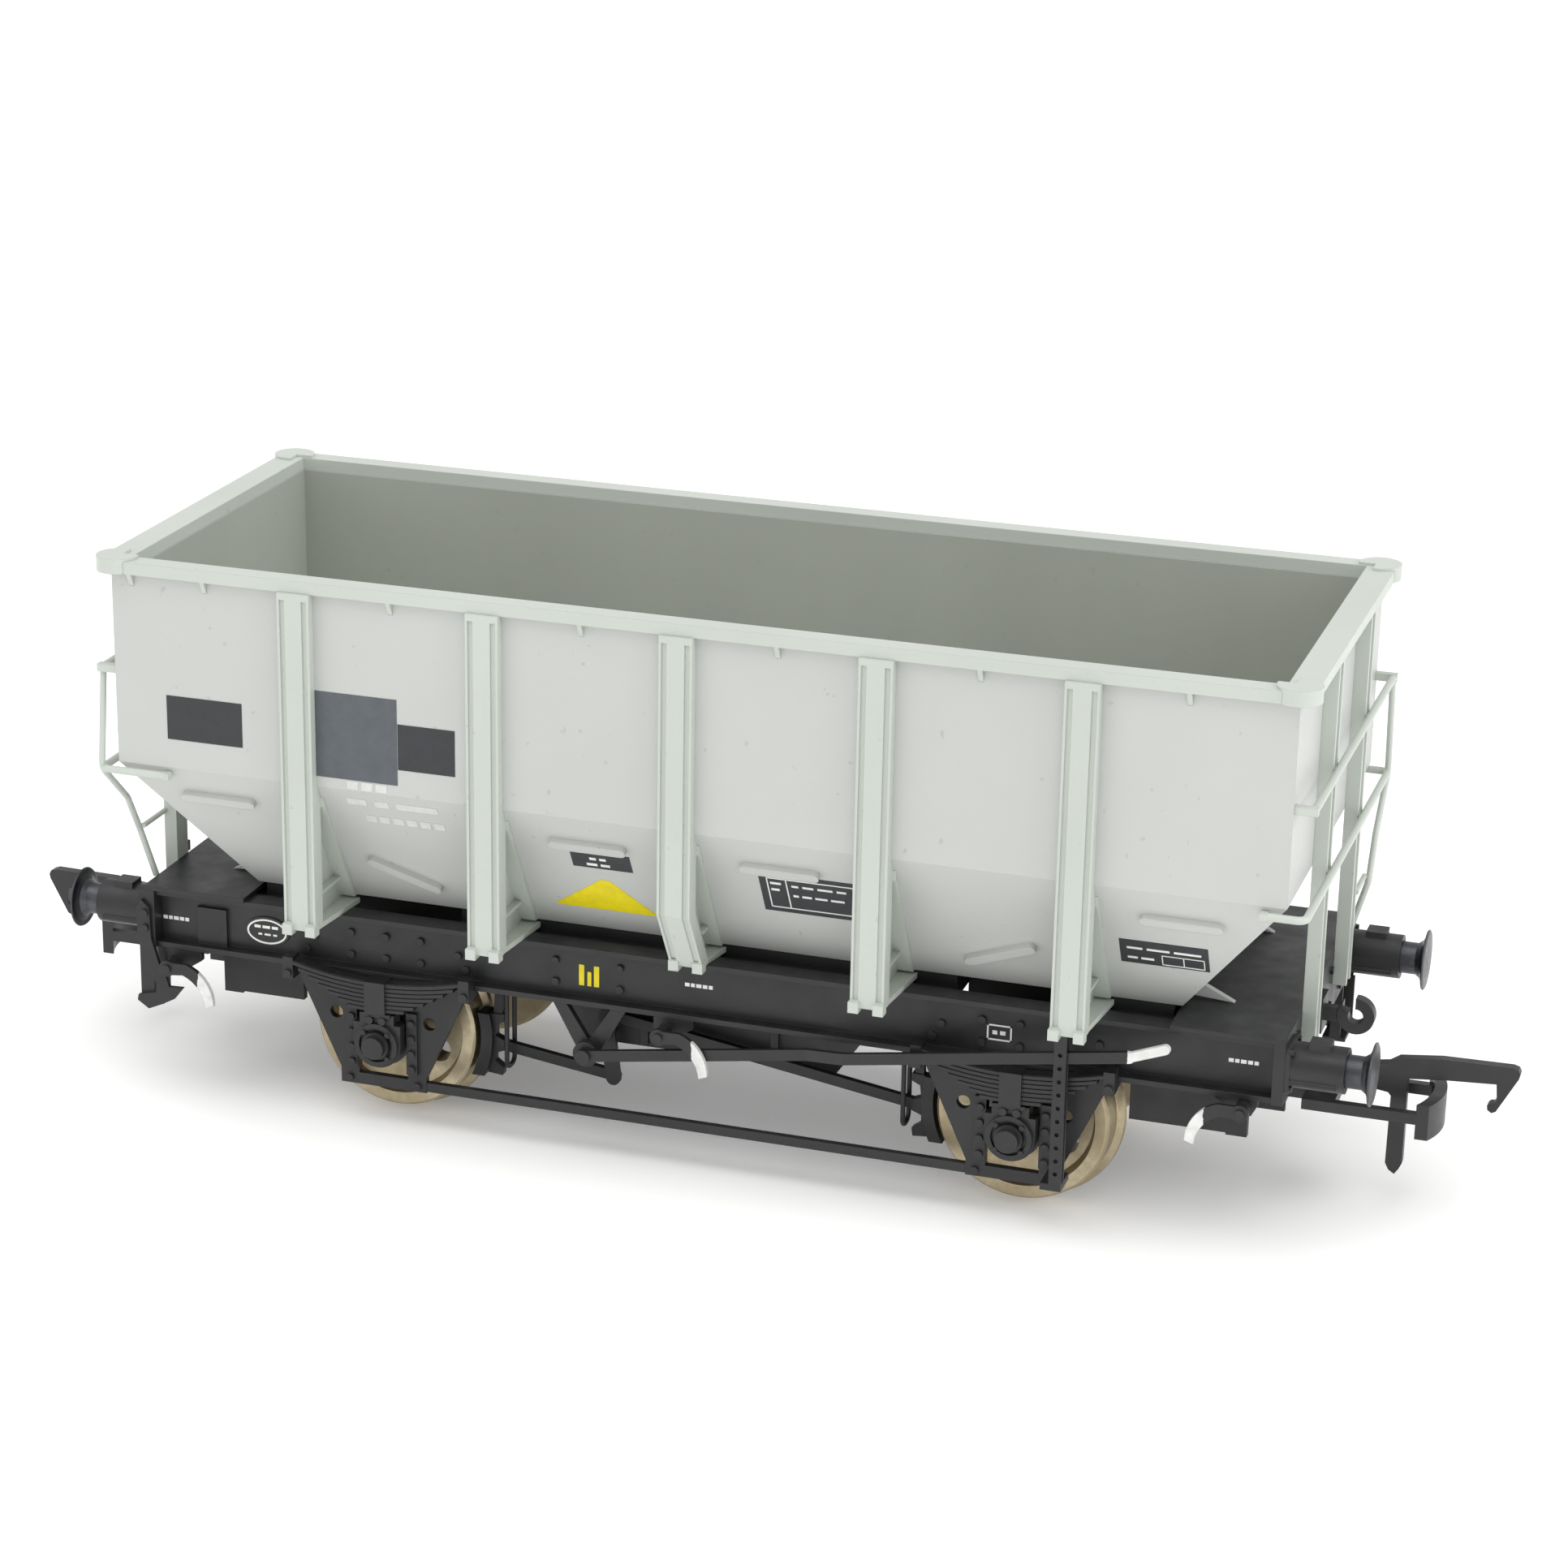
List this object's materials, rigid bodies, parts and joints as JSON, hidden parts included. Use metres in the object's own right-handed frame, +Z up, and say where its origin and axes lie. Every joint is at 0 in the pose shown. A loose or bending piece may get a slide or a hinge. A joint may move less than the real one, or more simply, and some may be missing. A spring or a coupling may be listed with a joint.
{
  "type": "model hopper car",
  "caption": "Four-wheel OO-scale hopper wagon with sloping-sided open body, ribbed sides, black underframe, rolling wheelsets, sprung buffers and swinging hook couplings.",
  "frame": {"origin": "middle of the wagon on the centreline, at the bottom of the wheel flanges", "axes": "+X along the wagon, +Y across it to the far side, +Z up"},
  "size_m": [0.115, 0.0342, 0.043],
  "materials": {
    "body_grey": "satin paint",
    "underframe_black": "satin moulded",
    "coupling_plastic": "satin moulded",
    "wheel_nickel": "turned, blackened nickel",
    "axle_steel": "turned",
    "brass": "turned",
    "ballast_steel": "plain steel plate",
    "buffer_metal": "blackened turned metal"
  },
  "bodies": {
    "wagon": {"axlebox_left_far": "underframe_black", "axlebox_left_near": "underframe_black", "axlebox_right_far": "underframe_black", "axlebox_right_near": "underframe_black", "ballast_weight": "ballast_steel", "bearing_cups": "brass", "brake_levers": "underframe_black", "brake_rigging": "underframe_black", "buffer_housings_left": "underframe_black", "buffer_housings_right": "underframe_black", "buffer_springs": "axle_steel", "centre_frame": "underframe_black", "coupling_screws": "axle_steel", "discharge_chute": "underframe_black", "discharge_doors": "underframe_black", "door_lever_plates": "underframe_black", "door_levers": "underframe_black", "drawhooks": "underframe_black", "end_deck_left": "underframe_black", "end_deck_right": "underframe_black", "end_handrail_left": "body_grey", "end_handrail_right": "body_grey", "end_stanchions": "body_grey", "headstock_left": "underframe_black", "headstock_right": "underframe_black", "headstock_steps": "underframe_black", "hopper_body": "body_grey", "leaf_spring_left_far": "underframe_black", "leaf_spring_left_near": "underframe_black", "leaf_spring_right_far": "underframe_black", "leaf_spring_right_near": "underframe_black", "lever_guides": "underframe_black", "rim_corner_caps": "body_grey", "side_stanchions_far": "body_grey", "side_stanchions_near": "body_grey", "solebar_far": "underframe_black", "solebar_near": "underframe_black", "tie_bars": "underframe_black", "top_rim": "body_grey", "v_hangers": "underframe_black", "w_iron_left_far": "underframe_black", "w_iron_left_near": "underframe_black", "w_iron_right_far": "underframe_black", "w_iron_right_near": "underframe_black"},
    "wheelset_left": {"axle_left": "axle_steel", "wheel_left_near": "wheel_nickel", "wheel_left_far": "wheel_nickel"},
    "wheelset_right": {"axle_right": "axle_steel", "wheel_right_near": "wheel_nickel", "wheel_right_far": "wheel_nickel"},
    "buffer_left_near": {"buffer_head_left_near": "buffer_metal"},
    "buffer_left_far": {"buffer_head_left_far": "buffer_metal"},
    "buffer_right_near": {"buffer_head_right_near": "buffer_metal"},
    "buffer_right_far": {"buffer_head_right_far": "buffer_metal"},
    "coupling_left": {"coupling_pocket_left": "coupling_plastic", "coupling_bar_left": "coupling_plastic"},
    "coupling_right": {"coupling_pocket_right": "coupling_plastic", "coupling_bar_right": "coupling_plastic"},
    "hook_left": {"coupling_hook_left": "coupling_plastic"},
    "hook_right": {"coupling_hook_right": "coupling_plastic"}
  },
  "joints": [
    {"name": "left_wheels_roll", "type": "hinge", "parent": "wagon", "child": "wheelset_left", "pos_m": [-0.024, 0, 0.007], "axis": [0, 1, 0], "continuous": true},
    {"name": "right_wheels_roll", "type": "hinge", "parent": "wagon", "child": "wheelset_right", "pos_m": [0.024, 0, 0.007], "axis": [0, 1, 0], "continuous": true},
    {"name": "buffer_left_near_slide", "type": "slide", "parent": "wagon", "child": "buffer_left_near", "axis": [1, 0, 0], "range_m": [0, 0.001], "stiffness_N_per_m": 60, "deforming": ["buffer_springs"]},
    {"name": "buffer_left_far_slide", "type": "slide", "parent": "wagon", "child": "buffer_left_far", "axis": [1, 0, 0], "range_m": [0, 0.001], "stiffness_N_per_m": 60, "deforming": ["buffer_springs"]},
    {"name": "buffer_right_near_slide", "type": "slide", "parent": "wagon", "child": "buffer_right_near", "axis": [-1, 0, 0], "range_m": [0, 0.001], "stiffness_N_per_m": 60, "deforming": ["buffer_springs"]},
    {"name": "buffer_right_far_slide", "type": "slide", "parent": "wagon", "child": "buffer_right_far", "axis": [-1, 0, 0], "range_m": [0, 0.001], "stiffness_N_per_m": 60, "deforming": ["buffer_springs"]},
    {"name": "coupling_left_swing", "type": "hinge", "parent": "wagon", "child": "coupling_left", "pos_m": [-0.0356, 0, 0.008], "axis": [0, 0, 1], "range_deg": [-10, 10]},
    {"name": "hook_left_lift", "type": "hinge", "parent": "coupling_left", "child": "hook_left", "pos_m": [-0.0453, 0, 0.0096], "axis": [0, 1, 0], "range_deg": [0, 15]},
    {"name": "coupling_right_swing", "type": "hinge", "parent": "wagon", "child": "coupling_right", "pos_m": [0.0356, 0, 0.008], "axis": [0, 0, 1], "range_deg": [-10, 10]},
    {"name": "hook_right_lift", "type": "hinge", "parent": "coupling_right", "child": "hook_right", "pos_m": [0.0453, 0, 0.0096], "axis": [0, -1, 0], "range_deg": [0, 15]}
  ]
}
